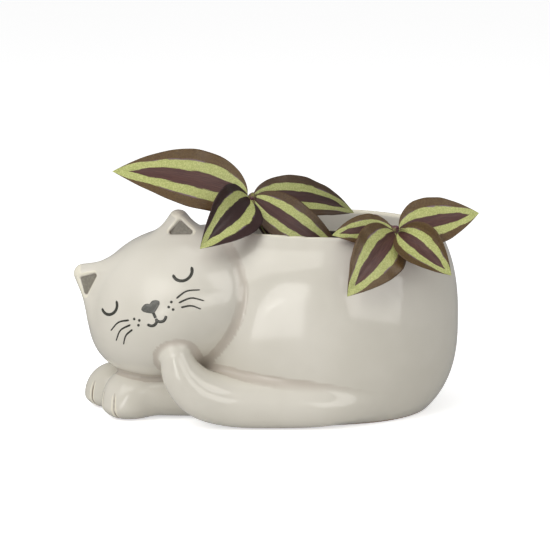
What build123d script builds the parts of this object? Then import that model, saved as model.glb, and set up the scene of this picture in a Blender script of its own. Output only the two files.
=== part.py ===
from build123d import *
import os
from math import asin, cos, degrees, radians, sin, tan

os.makedirs("parts", exist_ok=True)

# A glazed planter cast as a curled-up sleeping cat, with a striped trailing houseplant that stands
# in it in a grow pot. Millimetres and degrees. X runs to the viewer's right, Y to the back, Z up.
# The origin is on the flat base, under the middle of the mouth.

# Bowl, which is the cat's body: an oval trunk, widest at its waist
bowl_length = 132.0
bowl_depth = 112.0
waist_height = 45.0
upper_reach = 74.0
lower_reach = 62.0
trunk_power = 2.5
rim_height = 96.5
rim_tilt = 1.7
lip_width = 2.4
throat_drop = 5.5
rim_round = 1.15
wall = 5.0
floor_thickness = 6.0
overrun = 30.0
trunk_level_shares = (0, 0.1, 0.25, 0.47, 0.7, 0.88, 1.07)
cavity_level_shares = (0, 0.1, 0.25, 0.46, 0.7, 0.88, 1)

# Head, a ball a little wider from ear to ear, turned to the viewer and lying on its side
head_radius = 39.0
cheek_extra = 2.0
head_drop = 38.0
neck_round = 5.0
head_tuck = 23.0
head_forward_share = 0.39
head_yaw = 9.7
head_pitch = 11.0
head_roll = 25.8

# Ears, thick rounded triangles with a shallow scoop in front
ear_roll = 7.2
ear_spread = 44.0
ear_lean = 27.0
ear_reach_share = 0.82
ear_forward_share = 0.26
ear_half_width = 11.5
ear_drop = 6.0
ear_rise = 11.5
ear_corner_round = 5.0
ear_thickness = 12.0
ear_edge_round = 4.4
ear_root_round = 3.5
scoop_round = 1.1
scoop_depth = 1.2
scoop_corner_shares = ((0.2, 0.9), (-0.14, 0.49), (0.54, 0.41))

# Paws and forelegs, which taper forwards and lie flat on the ground
near_paw_radius = 12.5
near_tip_radius = 9.6
far_paw_radius = 12.0
far_tip_radius = 9.2
foreleg_radius = 14.0
near_limb_shares = ((-0.577, -0.128), (-0.205, -0.077), (0.692, -0.051))
far_limb_shares = ((-0.897, 0.462), (-0.513, 0.513), (0.564, 0.692))
sole_share = 0.93
toe_groove_width = 0.7
toe_groove_depth = 0.6
toe_spacing_share = 0.36

# Tail, which comes round the rump and ends beside the chin
tail_radius = 12.0
tail_route_shares = (
    (-1.18, -0.95, 0.385),
    (-1.11, -0.93, 0.29),
    (-0.97, -0.895, 0.202),
    (-0.76, -0.84, 0.142),
    (-0.45, -0.83, 0.118),
    (-0.03, -0.83, 0.118),
    (0.3, -0.75, 0.135),
    (0.61, -0.54, 0.166),
)
tail_tip_share = 0.67
tail_widest_share = 0.6
tail_root_share = 0.52
tail_section_count = 25

# Painted marks, fired on the glaze
paint_thickness = 0.3
paint_gap = 0.02
eye_place_shares = (0.51, 0.22)
eye_radius = 4.5
eye_line = 1.35
eye_start = 172.0
eye_sweep = 200.0
nose_lobe_radius = 1.75
nose_half_width = 2.75
nose_height = 4.0
nose_drop = 0.6
nose_cheek_share = 0.5
nose_waist_share = 0.87
nose_notch_share = 0.33
mouth_line = 1.15
mouth_arc_radius = 2.3
mouth_arc_shift = 2.0
mouth_drop = 7.7
mouth_arc_sweep = 165.0
whisker_line = 0.65
whisker_shares = (
    ((0.325, -0.064), (0.472, -0.031), (0.626, -0.082)),
    ((0.33, -0.126), (0.49, -0.133), (0.615, -0.228)),
    ((0.333, -0.19), (0.454, -0.223), (0.541, -0.31)),
)
dot_radius = 0.6
dot_shares = ((0.256, -0.08), (0.2, -0.123), (0.238, -0.174))

# Grow pot that stands in the bowl
seat_gap = 0.3
pot_clearance = 2.0
pot_drop = 12.0
pot_wall = 1.0
pot_band_height = 6.0
pot_band_step = 2.0
pot_foot_radius = 29.0
pot_foot_round = 0.8
drain_hole_radius = 3.0
drain_hole_count = 6
drain_ring_share = 0.62
soil_gap = 0.2
soil_drop = 1.0
soil_dome = 2.5
dome_shoulder_shares = (0.5, 0.75)
dome_start_slope = 0.2

# Shoots: the two stems rise from the soil and each ends in a leaf node
stem_radius = 1.3
stem_bend_radius = 12.0
stem_root_depth = 12.0
stem_gap = 0.1
node_radius = 2.5
left_root_shares = (-0.1, 0.05)
left_node_shares = (-0.82, -0.573)
left_node_rise_share = 0.29
left_crest_rise = -3.0
right_root_shares = (0.18, -0.08)
right_node_shares = (0.623, -0.883)
right_node_rise_share = 0.04
right_crest_rise = 6.0

# Leaves: one length and one thickness, and for each leaf its shares and angles
leaf_length = 60.0
leaf_thickness = 0.7
leaf_gap = 0.15
leaf_level_shares = (0.08, 0.24, 0.45, 0.68, 0.88)
leaf_base_power = 0.55
leaf_tip_power = 1.0


def trunk_share(height, inset):
    """Width of the trunk at a height, as a share of its widest section."""
    reach = (upper_reach if height > waist_height else lower_reach) - inset
    return (1 - (abs(height - waist_height) / reach) ** trunk_power) ** (1 / trunk_power)


def tapered_limb(start, end, start_radius, end_radius):
    """Two balls and the cone that is tangent to both."""
    along = end - start
    slope = degrees(asin((end_radius - start_radius) / along.length))
    side = along.cross(Vector(0, 0, 1))
    with BuildPart() as limb:
        with BuildSketch(Plane(origin=start, x_dir=along, z_dir=side)):
            with BuildLine():
                nose = CenterArc((0, 0), start_radius, 90 + slope, 90 - slope)
                heel = CenterArc((along.length, 0), end_radius, 0, 90 + slope)
                Line(nose @ 0, heel @ 1)
                Line(nose @ 1, heel @ 0)
            make_face()
        revolve(axis=Axis(start, along))
    return limb.part


# Places of the mouth, the head, the ears and the limbs
rim_peak = rim_height + tan(radians(rim_tilt)) * trunk_share(rim_height, 0) * bowl_length / 2
mouth_half_length = trunk_share(rim_peak, 0) * bowl_length / 2 - lip_width
mouth_half_depth = trunk_share(rim_peak, 0) * bowl_depth / 2 - lip_width
throat_height = rim_height - throat_drop
trunk_end = -bowl_length / 2
head_half_width = head_radius + cheek_extra
head_overhang = head_half_width - head_tuck
head_centre = Vector(trunk_end - head_overhang, -head_forward_share * bowl_depth / 2, rim_height - head_drop)
face_forward = Vector(0, -1, 0).rotate(Axis.X, -head_pitch).rotate(Axis.Z, -head_yaw)
face_right = Vector(1, 0, 0).rotate(Axis.Z, -head_yaw).rotate(Axis((0, 0, 0), face_forward), head_roll)
head_plane = Plane(origin=head_centre, x_dir=face_right, z_dir=face_forward)
rim_plane = Plane(origin=(0, 0, rim_height)).rotated((0, rim_tilt, 0))


def ear_plane(side):
    """Plane through the middle of an ear, with its Y towards the tip and its Z to the front."""
    out = radians(side * ear_spread)
    reach = ear_reach_share * head_radius
    place = (reach * sin(out), reach * cos(out), ear_forward_share * head_radius)
    rolled_head = head_plane.location * Location((0, 0, 0), (0, 0, ear_roll))
    return Plane(rolled_head * Location(place, (0, 0, -side * ear_lean)))


def head_form(growth):
    """The head's ball, grown or shrunk all over."""
    half_width = head_half_width + growth
    with BuildPart() as form:
        with BuildSketch(head_plane):
            with BuildLine():
                EllipticalCenterArc((0, 0), half_width, head_radius + growth, start_angle=0, arc_size=150)
                EllipticalCenterArc((0, 0), half_width, head_radius + growth, start_angle=150, arc_size=30)
                Line((-half_width, 0), (half_width, 0))
            make_face()
        revolve(axis=Axis(head_centre, face_right))
    return form.part


def ear_form(side):
    """One ear, from inside the head to its tip."""
    plane = ear_plane(side)
    front = Axis(plane.origin, plane.z_dir)
    with BuildPart() as ear:
        with BuildSketch(plane.offset(-ear_thickness / 2)):
            Polygon((-ear_half_width, -ear_drop), (ear_half_width, -ear_drop), (0, ear_rise), align=None)
            offset(amount=ear_corner_round)
        extrude(amount=ear_thickness)
        rims = ear.faces().sort_by(front)[0].edges() + ear.faces().sort_by(front)[-1].edges()
        fillet(rims, radius=ear_edge_round)
    return ear.part


def scoop_outline(side, inset):
    """The inner ear: a small rounded triangle, drawn in by an inset."""
    with BuildSketch() as outline:
        Polygon(*[(side * x * ear_rise, y * ear_rise) for x, y in scoop_corner_shares], align=None)
        offset(amount=scoop_round - inset)
    return outline.sketch


def toe_groove(tip, heading, radius, shift):
    """A thin sickle across the front of a paw, beside its middle line."""
    across = heading.cross(Vector(0, 0, 1)).normalized()
    ring = (radius**2 - shift**2) ** 0.5
    plane = Plane(origin=tip + across * (shift + toe_groove_width / 2), x_dir=heading, z_dir=across)
    with BuildPart() as groove:
        with BuildSketch(plane):
            Circle(radius + toe_groove_depth)
            Circle(ring - toe_groove_depth, mode=Mode.SUBTRACT)
            with Locations((radius, 0)):
                Rectangle(2 * radius, 4 * radius, mode=Mode.SUBTRACT)
            with Locations((0, -radius)):
                Rectangle(4 * radius, radius, mode=Mode.SUBTRACT)
        extrude(amount=-toe_groove_width)
    return groove.part


def limb_points(shares, radii):
    """Middles of a limb's balls, which stand a little into the ground."""
    places = []
    for (x, y), radius in zip(shares, radii):
        under_head = (head_centre.X + x * head_radius, head_centre.Y + y * head_radius)
        places.append(Vector(*under_head, sole_share * radius))
    return places


# Forelegs, each by its tip, its paw and its elbow
limb_radii = (
    (near_tip_radius, near_paw_radius, foreleg_radius),
    (far_tip_radius, far_paw_radius, foreleg_radius),
)
limb_routes = [limb_points(near_limb_shares, limb_radii[0]), limb_points(far_limb_shares, limb_radii[1])]


def tail_width(place):
    """Radius of the tail, which swells from its tip and thins again where it joins the rump."""
    if place < tail_widest_share:
        swell = sin(radians(90) * place / tail_widest_share)
        return tail_radius * (tail_tip_share + (1 - tail_tip_share) * swell)
    past = (place - tail_widest_share) / (1 - tail_widest_share)
    return tail_radius * (1 - (1 - tail_root_share) * past**2)


# Tail, lofted through rounds along its route, with a ball for its tip
with BuildLine() as tail_route:
    Spline(
        *[
            (x * bowl_length / 2, y * bowl_depth / 2, z * rim_height)
            for x, y, z in tail_route_shares
        ]
    )
with BuildPart() as tail:
    for number in range(tail_section_count):
        place = number / (tail_section_count - 1)
        heading = tail_route.line % place
        across = heading.cross(Vector(0, 0, 1))
        with BuildSketch(Plane(origin=tail_route.line @ place, x_dir=across, z_dir=heading)):
            Circle(tail_width(place))
    loft()
    with Locations(tail_route.line @ 0):
        Sphere(tail_width(0))

# Hollow of the bowl: the wall's inner face up to the throat, then straight out of the mouth
with BuildPart() as bowl_hollow:
    for share in cavity_level_shares:
        height = floor_thickness + share * (throat_height - floor_thickness)
        width = trunk_share(height, wall)
        if share < 1:
            half_length = width * (bowl_length / 2 - wall)
            half_depth = width * (bowl_depth / 2 - wall)
        else:
            half_length = mouth_half_length
            half_depth = mouth_half_depth
        with BuildSketch(Plane.XY.offset(height)):
            Ellipse(half_length, half_depth)
    loft()
    with BuildSketch(Plane.XY.offset(throat_height)):
        Ellipse(mouth_half_length, mouth_half_depth)
    extrude(amount=overrun)

# Trunk of the bowl, cut off along its slightly tilted rim
with BuildPart() as trunk:
    for share in trunk_level_shares:
        width = trunk_share(share * rim_height, 0)
        with BuildSketch(Plane.XY.offset(share * rim_height)):
            Ellipse(width * bowl_length / 2, width * bowl_depth / 2)
    loft()
    split(bisect_by=rim_plane, keep=Keep.BOTTOM)


def grown(base, sprouts, crease_round):
    """A solid with others grown out of it, and a round along each crease."""
    with BuildPart() as whole:
        add(base)
        add(sprouts)
        fillet(new_edges(base, *sprouts, combined=whole.part), radius=crease_round)
    return whole.part


def foreleg(places, radii):
    """A paw and the leg behind it."""
    with BuildPart() as leg:
        add(tapered_limb(places[0], places[1], radii[0], radii[1]))
        add(tapered_limb(places[1], places[2], radii[1], radii[2]))
    return leg.part


# Planter, one slip-cast and glazed piece: head, ears, forelegs and tail grow out of the trunk
head = grown(head_form(0), [ear_form(-1), ear_form(1)], ear_root_round)
body = grown(trunk.part, [head], neck_round)
with BuildPart() as planter:
    add(body)
    add(tail.part)
    for places, radii in zip(limb_routes, limb_radii):
        add(foreleg(places, radii))
    split(bisect_by=Plane.XY, keep=Keep.TOP)
    for side in (-1, 1):
        with BuildSketch(ear_plane(side).offset(ear_thickness / 2 - scoop_depth)):
            add(scoop_outline(side, 0))
        extrude(amount=ear_thickness, mode=Mode.SUBTRACT)
    for (tip, paw, elbow), radii in zip(limb_routes, limb_radii):
        for side in (-1, 1):
            groove = toe_groove(tip, paw - tip, radii[0], side * toe_spacing_share * radii[0])
            add(groove, mode=Mode.SUBTRACT)
    add(bowl_hollow.part, mode=Mode.SUBTRACT)
    add(head_form(-wall), mode=Mode.SUBTRACT)
    rim_face = planter.faces().filter_by(rim_plane).sort_by(SortBy.AREA)[-1]
    fillet(rim_face.edges(), radius=rim_round)
planter.part.label = "cat_planter"
export_step(planter.part, "parts/cat_planter.step")


# Painted face: closed eyes, nose, mouth, whiskers and cheek dots, thin skins on the head's ball
def paint_ball(growth):
    """A stretched sphere just outside the head's ball."""
    radius = head_radius + growth
    with BuildPart() as ball:
        Sphere(radius)
        scale(by=((head_half_width + growth) / radius, 1, 1))
    return head_plane.location * ball.part


paint_top = paint_ball(paint_gap + paint_thickness)
paint_bed = paint_ball(paint_gap)


def painted(name, strokes):
    """Write one mark: its brush strokes, pressed onto the head as a thin skin of paint."""
    skins = []
    for stroke in strokes:
        with BuildPart() as skin:
            with BuildSketch(head_plane):
                add(stroke)
            extrude(amount=head_radius + overrun)
            add(paint_top, mode=Mode.INTERSECT)
            add(paint_bed, mode=Mode.SUBTRACT)
        skins.append(skin.part)
    with BuildPart() as mark:
        add(skins)
    mark.part.label = name
    export_step(mark.part, f"parts/{name}.step")


def face_point(shares, side):
    """A place on the face from shares of the head's radius, mirrored for the left side."""
    return (side * shares[0] * head_radius, shares[1] * head_radius)


def brush_line(line, width):
    """A line of one width with round ends."""
    with BuildSketch() as stroke:
        SlotArc(line, width)
    return stroke.sketch


for side, word in ((-1, "left"), (1, "right")):
    eye_arc = CenterArc(face_point(eye_place_shares, side), eye_radius, eye_start, eye_sweep)
    painted(f"{word}_eye_line", [brush_line(eye_arc, eye_line)])
    hairs = [ThreePointArc(*[face_point(shares, side) for shares in hair]) for hair in whisker_shares]
    painted(f"{word}_whiskers", [brush_line(hair, whisker_line) for hair in hairs])
    with BuildSketch() as dots:
        with Locations(*[face_point(shares, side) for shares in dot_shares]):
            Circle(dot_radius)
    painted(f"{word}_cheek_dots", [dots.sketch])

with BuildSketch() as nose:
    with Locations((-nose_half_width, -nose_drop), (nose_half_width, -nose_drop)):
        Circle(nose_lobe_radius)
    cheek = nose_half_width + nose_lobe_radius * nose_cheek_share
    waist = -nose_drop - nose_lobe_radius * nose_waist_share
    Polygon(
        (-cheek, waist),
        (0, -nose_drop - nose_height),
        (cheek, waist),
        (nose_half_width, -nose_drop + nose_lobe_radius),
        (0, -nose_drop + nose_lobe_radius * nose_notch_share),
        (-nose_half_width, -nose_drop + nose_lobe_radius),
        align=None,
    )
painted("nose", [nose.sketch])

philtrum_top = nose_drop + nose_height + mouth_line / 2 + 2 * paint_gap
philtrum_length = mouth_drop + mouth_line / 2 - philtrum_top
with BuildSketch() as philtrum:
    with Locations((0, -philtrum_top - philtrum_length / 2)):
        SlotCenterToCenter(philtrum_length, mouth_line, rotation=90)
mouth_strokes = [philtrum.sketch]
for side in (-1, 1):
    lip_start = 180 if side > 0 else 360 - mouth_arc_sweep
    lip_centre = (side * mouth_arc_shift, -mouth_drop)
    lip_arc = CenterArc(lip_centre, mouth_arc_radius, lip_start, mouth_arc_sweep)
    mouth_strokes.append(brush_line(lip_arc, mouth_line))
painted("mouth_line", mouth_strokes)

# Painted inner ears, which lie in the scoops
for side, word in ((-1, "left"), (1, "right")):
    with BuildPart() as patch:
        with BuildSketch(ear_plane(side).offset(ear_thickness / 2 - scoop_depth + paint_gap)):
            add(scoop_outline(side, paint_thickness))
        extrude(amount=paint_thickness)
    patch.part.label = f"{word}_ear_patch"
    export_step(patch.part, f"parts/{word}_ear_patch.step")

# Grow pot: a tapered cup with a wider band at its rim and drain holes in its floor
pot_base = floor_thickness + seat_gap
pot_top = rim_height - pot_drop
pot_rim_radius = min(mouth_half_length, mouth_half_depth) - pot_clearance
pot_body_radius = pot_rim_radius - pot_band_step
band_base = pot_top - pot_band_height
with BuildPart() as grow_pot:
    with BuildSketch(Plane.XZ):
        with BuildLine():
            Polyline(
                (0, pot_base),
                (pot_foot_radius, pot_base),
                (pot_body_radius, band_base),
                (pot_rim_radius, band_base),
                (pot_rim_radius, pot_top),
                (pot_rim_radius - pot_wall, pot_top),
                (pot_rim_radius - pot_wall, band_base + pot_wall),
                (pot_body_radius - pot_wall, band_base + pot_wall),
                (pot_foot_radius - pot_wall, pot_base + pot_wall),
                (0, pot_base + pot_wall),
                close=True,
            )
        make_face()
    revolve(axis=Axis.Z)
    foot_edge = grow_pot.edges().filter_by(GeomType.CIRCLE).group_by(Axis.Z)[0]
    fillet(foot_edge, radius=pot_foot_round)
    with Locations((0, 0, pot_base + pot_wall)):
        Hole(drain_hole_radius)
        with PolarLocations(drain_ring_share * pot_foot_radius, drain_hole_count):
            Hole(drain_hole_radius)
grow_pot.part.label = "grow_pot"
export_step(grow_pot.part, "parts/grow_pot.step")

# Stems: straight up out of the soil, then over to the leaf node
soil_level = band_base - soil_drop
stem_depth = Vector(0, 0, stem_root_depth)


def over_mouth(shares, height):
    """A place over the mouth, from shares of its half length and half depth."""
    return Vector(shares[0] * mouth_half_length, shares[1] * mouth_half_depth, height)


def stem(name, root, node, crest_rise):
    """A round stem along straight runs and arcs, with a ball where the leaves grow."""
    crest = Vector((root.X + node.X) / 2, (root.Y + node.Y) / 2, rim_height + crest_rise)
    neck = root + Vector(0, 0, stem_bend_radius)
    with BuildLine() as route:
        FilletPolyline(root - stem_depth, neck, crest, node, radius=stem_bend_radius)
    with BuildPart() as shoot:
        with BuildSketch(route.line ^ 0):
            Circle(stem_radius)
        sweep(path=route.line)
        with Locations(Plane(origin=node, z_dir=route.line % 1)):
            Sphere(node_radius)
    shoot.part.label = name
    export_step(shoot.part, f"parts/{name}.step")


left_root = over_mouth(left_root_shares, soil_level)
right_root = over_mouth(right_root_shares, soil_level)
left_node = over_mouth(left_node_shares, rim_height + left_node_rise_share * leaf_length)
right_node = over_mouth(right_node_shares, rim_height + right_node_rise_share * leaf_length)
stem("left_stem", left_root, left_node, left_crest_rise)
stem("right_stem", right_root, right_node, right_crest_rise)

# Potting soil: fills the tapered part of the pot, with a low dome and a hole for each stem
soil_base = pot_base + pot_wall + soil_gap
soil_foot_radius = pot_foot_radius - pot_wall - soil_gap
soil_top_radius = pot_body_radius - pot_wall - soil_gap - soil_drop
shoulder_radius_share, shoulder_rise_share = dome_shoulder_shares
dome_shoulder = (shoulder_radius_share * soil_top_radius, soil_level + shoulder_rise_share * soil_dome)
with BuildPart() as soil:
    with BuildSketch(Plane.XZ):
        with BuildLine():
            Polyline(
                (0, soil_level + soil_dome),
                (0, soil_base),
                (soil_foot_radius, soil_base),
                (soil_top_radius, soil_level),
            )
            Spline(
                (soil_top_radius, soil_level),
                dome_shoulder,
                (0, soil_level + soil_dome),
                tangents=((-1, dome_start_slope), (-1, 0)),
            )
        make_face()
    revolve(axis=Axis.Z)
    for root in (left_root, right_root):
        with BuildSketch(Plane.XY.offset(soil_level - stem_root_depth - stem_gap)):
            with Locations((root.X, root.Y)):
                Circle(stem_radius + stem_gap)
        extrude(amount=stem_root_depth + overrun, mode=Mode.SUBTRACT)
soil.part.label = "potting_soil"
export_step(soil.part, "parts/potting_soil.step")


def leaf(name, node, azimuth, rise, twist, length_share, width_share, arch_share, bend_share, cup_share):
    """A pointed blade: thin curved sections along an arched midrib, closed to a point at both ends."""
    length = length_share * leaf_length
    heading = Vector(1, 0, 0).rotate(Axis.Y, -rise).rotate(Axis.Z, azimuth)
    level_face = Vector(0, 0, 1).rotate(Axis.Y, -rise).rotate(Axis.Z, azimuth)
    face = level_face.rotate(Axis((0, 0, 0), heading), twist)
    side = heading.cross(face)
    base = node + heading * (node_radius + leaf_gap)
    widest = leaf_base_power / (leaf_base_power + leaf_tip_power)
    most = widest**leaf_base_power * (1 - widest) ** leaf_tip_power

    def midrib(place):
        bow = 4 * place * (1 - place) * length
        return base + heading * (place * length) + face * (arch_share * bow) + side * (bend_share * bow)

    sections = [Vertex(base)]
    for place in leaf_level_shares:
        fullness = place**leaf_base_power * (1 - place) ** leaf_tip_power / most
        half_width = fullness * width_share * length / 2
        half_thickness = fullness * leaf_thickness / 2
        slope = 4 * (1 - 2 * place)
        along = (heading + face * (arch_share * slope) + side * (bend_share * slope)).normalized()
        across = (side - along * side.dot(along)).normalized()
        edge_height = cup_share * half_width
        with BuildSketch(Plane(origin=midrib(place), x_dir=-across, z_dir=along)) as section:
            with BuildLine():
                ThreePointArc((-half_width, edge_height), (0, half_thickness), (half_width, edge_height))
                ThreePointArc((-half_width, edge_height), (0, -half_thickness), (half_width, edge_height))
            make_face()
        sections.append(section.sketch.face())
    sections.append(Vertex(base + heading * length))
    with BuildPart() as blade:
        loft(sections)
    blade.part.label = name
    export_step(blade.part, f"parts/{name}.step")


# Name, node, then azimuth, rise and twist, and shares for length, width, arch, bend and cup
leaf_table = (
    ("left_long_leaf", left_node, -175, 11, -66, 1.15, 0.44, 0.05, 0.04, 0.11),
    ("left_front_leaf", left_node, -130, -29, -61, 0.71, 0.64, 0.14, 0.03, 0.35),
    ("left_back_leaf", left_node, 40, -13, 58, 1.17, 0.32, 0.085, -0.014, 0.16),
    ("left_middle_leaf", left_node, 3, -34, 64, 0.93, 0.42, 0.06, 0.022, 0.15),
    ("left_inner_leaf", left_node, -4, -62, 50, 0.48, 0.28, 0.014, 0.069, 0.3),
    ("left_sprout", left_node, -82, -62, 20, 0.11, 0.6, 0.1, 0, 0.1),
    ("right_outer_leaf", right_node, 4, 11, 60, 0.68, 0.63, 0.053, 0.007, 0.13),
    ("right_front_leaf", right_node, -27, -34, 55, 0.58, 0.62, 0.115, -0.004, 0.5),
    ("right_hanging_leaf", right_node, -131, -36, -60, 0.76, 0.63, 0.106, 0.033, 0.11),
    ("right_rim_leaf", right_node, -156, 0, -57, 0.56, 0.51, 0.027, 0.036, -0.02),
    ("right_sprout", right_node, -55, 12, 15, 0.1, 0.45, 0.05, 0, 0.12),
)
for row in leaf_table:
    leaf(*row)
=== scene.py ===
import math
from contextlib import contextmanager

import bmesh
import bpy
import numpy as np
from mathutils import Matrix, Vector


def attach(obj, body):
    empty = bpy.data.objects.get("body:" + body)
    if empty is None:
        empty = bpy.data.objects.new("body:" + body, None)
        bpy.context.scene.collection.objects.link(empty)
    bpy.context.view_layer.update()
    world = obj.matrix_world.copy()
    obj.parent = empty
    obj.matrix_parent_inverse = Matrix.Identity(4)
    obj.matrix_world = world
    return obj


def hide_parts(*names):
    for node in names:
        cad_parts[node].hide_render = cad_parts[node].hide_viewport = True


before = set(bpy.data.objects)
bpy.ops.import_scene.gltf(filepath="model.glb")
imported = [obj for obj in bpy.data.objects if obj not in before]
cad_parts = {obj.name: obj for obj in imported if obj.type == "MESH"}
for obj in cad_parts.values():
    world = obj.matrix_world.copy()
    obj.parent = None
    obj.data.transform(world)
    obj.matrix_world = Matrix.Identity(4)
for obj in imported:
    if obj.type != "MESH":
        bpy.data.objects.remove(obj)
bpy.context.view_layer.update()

# The cat is modelled in millimetres, as its maker would, and written to its meshes in metres
MM = 0.001


# Camera, where the photograph was taken from

VIEW_TARGET = Vector((-29, 0, 67)) * MM
VIEW_DISTANCE = 1.1
VIEW_ELEVATION = math.radians(11.5)
SENSOR_HEIGHT = 36.0
PHOTO_HEIGHT = 556
PHOTO_PIXEL = 0.518 * MM


def make_camera():
    """A long lens a little above the rim, looking straight at the cat's side."""
    data = bpy.data.cameras.new("photo_camera")
    data.sensor_fit = "VERTICAL"
    data.sensor_height = SENSOR_HEIGHT
    data.lens = SENSOR_HEIGHT * VIEW_DISTANCE / (PHOTO_PIXEL * PHOTO_HEIGHT)
    camera = bpy.data.objects.new("photo_camera", data)
    back = Vector((0, -math.cos(VIEW_ELEVATION), math.sin(VIEW_ELEVATION)))
    camera.location = VIEW_TARGET + back * VIEW_DISTANCE
    camera.rotation_euler = (math.pi / 2 - VIEW_ELEVATION, 0, 0)
    bpy.context.scene.collection.objects.link(camera)
    bpy.context.scene.camera = camera


make_camera()


# Distance fields: each gives, for an array of points, the distance to a form's skin, negative inside

TINY = 1e-9
FAR = 1e9


def unit(vector):
    """A vector, or rows of them, at length one."""
    vector = np.asarray(vector, float)
    return vector / np.linalg.norm(vector, axis=-1, keepdims=True)


def smooth_min(first, second, blend):
    """Union of two forms with a fillet."""
    share = np.clip(0.5 + 0.5 * (second - first) / blend, 0, 1)
    return second * (1 - share) + first * share - blend * share * (1 - share)


def smooth_max(first, second, blend):
    """Overlap of two forms with a rounded edge."""
    return -smooth_min(-first, -second, blend)


def stretched_ball(local, radii):
    """A ball with its own reach along each axis, for places from its middle."""
    size = np.linalg.norm(local / radii, axis=-1)
    slope = np.linalg.norm(local / (radii * radii), axis=-1) + TINY
    return size * (size - 1) / slope


def bulge_field(points, centre, half_length, half_depth, reach_up, reach_down, power):
    """A barrel with an oval plan and a superellipse for its profile."""
    x, y, z = (points - centre).T
    plan = np.sqrt((x / half_length) ** 2 + (y / half_depth) ** 2) + TINY
    reach = np.where(z > 0, reach_up, reach_down)
    rise = np.abs(z) / reach + TINY
    size = (plan**power + rise**power) ** (1 / power)
    flat_slope = np.sqrt((x / half_length**2) ** 2 + (y / half_depth**2) ** 2)
    out = (plan / size) ** (power - 1) * flat_slope / plan
    up = (rise / size) ** (power - 1) / reach
    return (size - 1) / (np.sqrt(out * out + up * up) + TINY)


STRAND_MARGIN = 12.0


def strand_field(points, route, radii):
    """A round limb along a route, whose radius runs evenly from one place to the next."""
    margin = STRAND_MARGIN + max(radii)
    outside = np.maximum(route.min(0) - margin - points, points - route.max(0) - margin)
    near = (outside < 0).all(1)
    result = np.linalg.norm(np.maximum(outside, 0), axis=1) + STRAND_MARGIN
    spots = points[near]
    nearest = np.full(len(spots), FAR)
    for start, end, first, last in zip(route[:-1], route[1:], radii[:-1], radii[1:]):
        along = end - start
        share = np.clip((spots - start) @ along / (along @ along), 0, 1)
        gap = np.linalg.norm(spots - start - share[:, None] * along, axis=-1)
        nearest = np.minimum(nearest, gap - (first + (last - first) * share))
    result[near] = nearest
    return result


def smooth_route(places, steps):
    """A curve through places, with a few steps from each to the next."""
    places = np.asarray(places, float)
    padded = np.vstack([2 * places[0] - places[1], places, 2 * places[-1] - places[-2]])
    rows = []
    for before, start, end, after in zip(padded, padded[1:], padded[2:], padded[3:]):
        for t in np.arange(steps) / steps:
            rows.append(0.5 * (
                2 * start + (end - before) * t + (2 * before - 5 * start + 4 * end - after) * t**2
                + (3 * start - before - 3 * end + after) * t**3
            ))
    rows.append(places[-1])
    return np.array(rows)


def corner_field(across, along, corners):
    """Distance in a plane to a triangle's outline, negative inside."""
    inside = np.full(across.shape, -FAR)
    nearest = np.full(across.shape, FAR)
    middle = np.mean(corners, axis=0)
    for start, end in zip(corners, corners[1:] + corners[:1]):
        start, end = np.array(start, float), np.array(end, float)
        side = end - start
        normal = np.array([side[1], -side[0]]) / np.linalg.norm(side)
        if normal @ (middle - start) > 0:
            normal = -normal
        offset_x, offset_y = across - start[0], along - start[1]
        share = np.clip((offset_x * side[0] + offset_y * side[1]) / (side @ side), 0, 1)
        gap = np.hypot(offset_x - share * side[0], offset_y - share * side[1])
        nearest = np.minimum(nearest, gap)
        inside = np.maximum(inside, offset_x * normal[0] + offset_y * normal[1])
    return np.where(inside < 0, -nearest, nearest)


# The cat's own sizes

TRUNK_MIDDLE = np.array([0, 0, 45.0])
TRUNK_HALF_LENGTH = 66.0
TRUNK_HALF_DEPTH = 55.95
TRUNK_REACH_UP = 72.5
TRUNK_REACH_DOWN = 60.0
TRUNK_POWER = 2.5
SHOULDER_STRETCH = 1.42
SHOULDER_DEPTH = (5.0, 25.0)
SHOULDER_START = 40.0
RIM_HEIGHT = 96.5
RIM_SLOPE = 0.03
LIP_ROUND = 2.4
WALL = 5.0
FLOOR = 6.0
MOUTH_HALF_LENGTH = 50.0
MOUTH_HALF_DEPTH = 41.9
THROAT = 84.0
THROAT_FOOT = 60.0

HEAD_MIDDLE = np.array([-84, -22, 58.5])
SKULL_MIDDLE = np.array([-80.3, -21.4, 55.8])
SKULL_LEFT = 44.9
SKULL_RIGHT = 50.0
SKULL_TOP = 40.7
SKULL_CHIN = 33.0
SKULL_FRONT = 38.2
HEAD_YAW, HEAD_PITCH, HEAD_ROLL = (math.radians(a) for a in (9.7, 11.0, 25.8))
EAR_ROLL = math.radians(7.2)
EAR_SPREAD = math.radians(44)
EAR_LEAN = math.radians(27)
EAR_REACH = 32.0
EAR_FORWARD = 10.0
EAR_SHIFT = {-1: (0.7, 0, 2.8), 1: (0, 0, 0)}
EAR_CORNERS = [(-11.5, -6.0), (14.5, -7.0), (2.0, 11.0)]
EAR_ROUND = 5.0
EAR_CORE = 1.0
SCOOP_CORNERS = [(3.9, 9.1), (-0.5, 4.7), (8.6, 4.1)]
SCOOP_ROUND = 1.2
SCOOP_FLOOR = 4.9

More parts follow.
